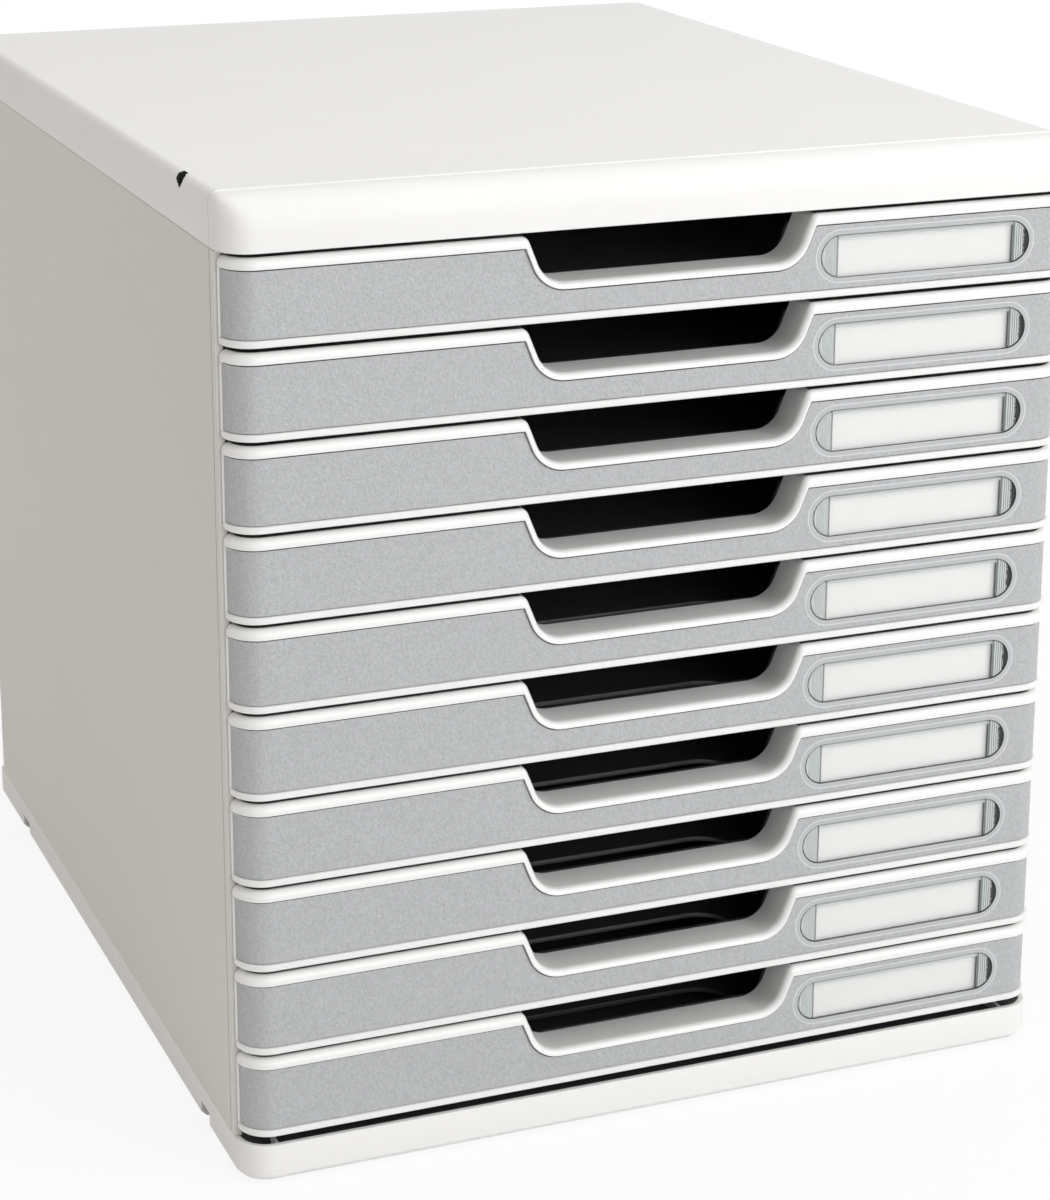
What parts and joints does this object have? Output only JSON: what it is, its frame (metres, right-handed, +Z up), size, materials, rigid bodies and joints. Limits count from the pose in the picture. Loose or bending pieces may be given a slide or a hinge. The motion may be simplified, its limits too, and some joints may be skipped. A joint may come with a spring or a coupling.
{
  "type": "desktop drawer unit",
  "caption": "Desktop paper drawer unit: light casing of base, cover and side panels, shallow sliding drawers with wide hand notches and label windows.",
  "frame": {"origin": "on the ground under the middle of the footprint", "axes": "+X to the right seen from the front, +Y from the front to the back, +Z up; drawers open towards -Y"},
  "size_m": [0.288, 0.35, 0.32],
  "materials": {
    "cover_white": "fine-textured polystyrene",
    "side_grey": "fine-textured polystyrene",
    "front_white": "smooth satin polystyrene",
    "plate_grey": "fine leather grain",
    "clear_lens": "clear styrene, ribbed ends",
    "paper": "uncoated white card",
    "black_styrene": "satin black polystyrene",
    "foot_rubber": "soft matt pad"
  },
  "bodies": {
    "casing": {"top_cover": "cover_white", "base": "cover_white", "floor_plate": "black_styrene", "left_side": "side_grey", "right_side": "side_grey", "back_panel": "side_grey", "foot_fl": "foot_rubber", "foot_fr": "foot_rubber", "foot_bl": "foot_rubber", "foot_br": "foot_rubber"},
    "drawer_01": {"tray_01": "black_styrene", "front_01": "front_white", "insert_01": "plate_grey", "window_01": "clear_lens", "card_01": "paper"},
    "drawer_02": {"tray_02": "black_styrene", "front_02": "front_white", "insert_02": "plate_grey", "window_02": "clear_lens", "card_02": "paper"},
    "drawer_03": {"tray_03": "black_styrene", "front_03": "front_white", "insert_03": "plate_grey", "window_03": "clear_lens", "card_03": "paper"},
    "drawer_04": {"tray_04": "black_styrene", "front_04": "front_white", "insert_04": "plate_grey", "window_04": "clear_lens", "card_04": "paper"},
    "drawer_05": {"tray_05": "black_styrene", "front_05": "front_white", "insert_05": "plate_grey", "window_05": "clear_lens", "card_05": "paper"},
    "drawer_06": {"tray_06": "black_styrene", "front_06": "front_white", "insert_06": "plate_grey", "window_06": "clear_lens", "card_06": "paper"},
    "drawer_07": {"tray_07": "black_styrene", "front_07": "front_white", "insert_07": "plate_grey", "window_07": "clear_lens", "card_07": "paper"},
    "drawer_08": {"tray_08": "black_styrene", "front_08": "front_white", "insert_08": "plate_grey", "window_08": "clear_lens", "card_08": "paper"},
    "drawer_09": {"tray_09": "black_styrene", "front_09": "front_white", "insert_09": "plate_grey", "window_09": "clear_lens", "card_09": "paper"},
    "drawer_10": {"tray_10": "black_styrene", "front_10": "front_white", "insert_10": "plate_grey", "window_10": "clear_lens", "card_10": "paper"}
  },
  "joints": [
    {"name": "drawer_01_slide", "type": "slide", "parent": "casing", "child": "drawer_01", "axis": [0, -1, 0], "range_m": [0, 0.253]},
    {"name": "drawer_02_slide", "type": "slide", "parent": "casing", "child": "drawer_02", "axis": [0, -1, 0], "range_m": [0, 0.253]},
    {"name": "drawer_03_slide", "type": "slide", "parent": "casing", "child": "drawer_03", "axis": [0, -1, 0], "range_m": [0, 0.253]},
    {"name": "drawer_04_slide", "type": "slide", "parent": "casing", "child": "drawer_04", "axis": [0, -1, 0], "range_m": [0, 0.253]},
    {"name": "drawer_05_slide", "type": "slide", "parent": "casing", "child": "drawer_05", "axis": [0, -1, 0], "range_m": [0, 0.253]},
    {"name": "drawer_06_slide", "type": "slide", "parent": "casing", "child": "drawer_06", "axis": [0, -1, 0], "range_m": [0, 0.253]},
    {"name": "drawer_07_slide", "type": "slide", "parent": "casing", "child": "drawer_07", "axis": [0, -1, 0], "range_m": [0, 0.253]},
    {"name": "drawer_08_slide", "type": "slide", "parent": "casing", "child": "drawer_08", "axis": [0, -1, 0], "range_m": [0, 0.253]},
    {"name": "drawer_09_slide", "type": "slide", "parent": "casing", "child": "drawer_09", "axis": [0, -1, 0], "range_m": [0, 0.253]},
    {"name": "drawer_10_slide", "type": "slide", "parent": "casing", "child": "drawer_10", "axis": [0, -1, 0], "range_m": [0, 0.253]}
  ]
}
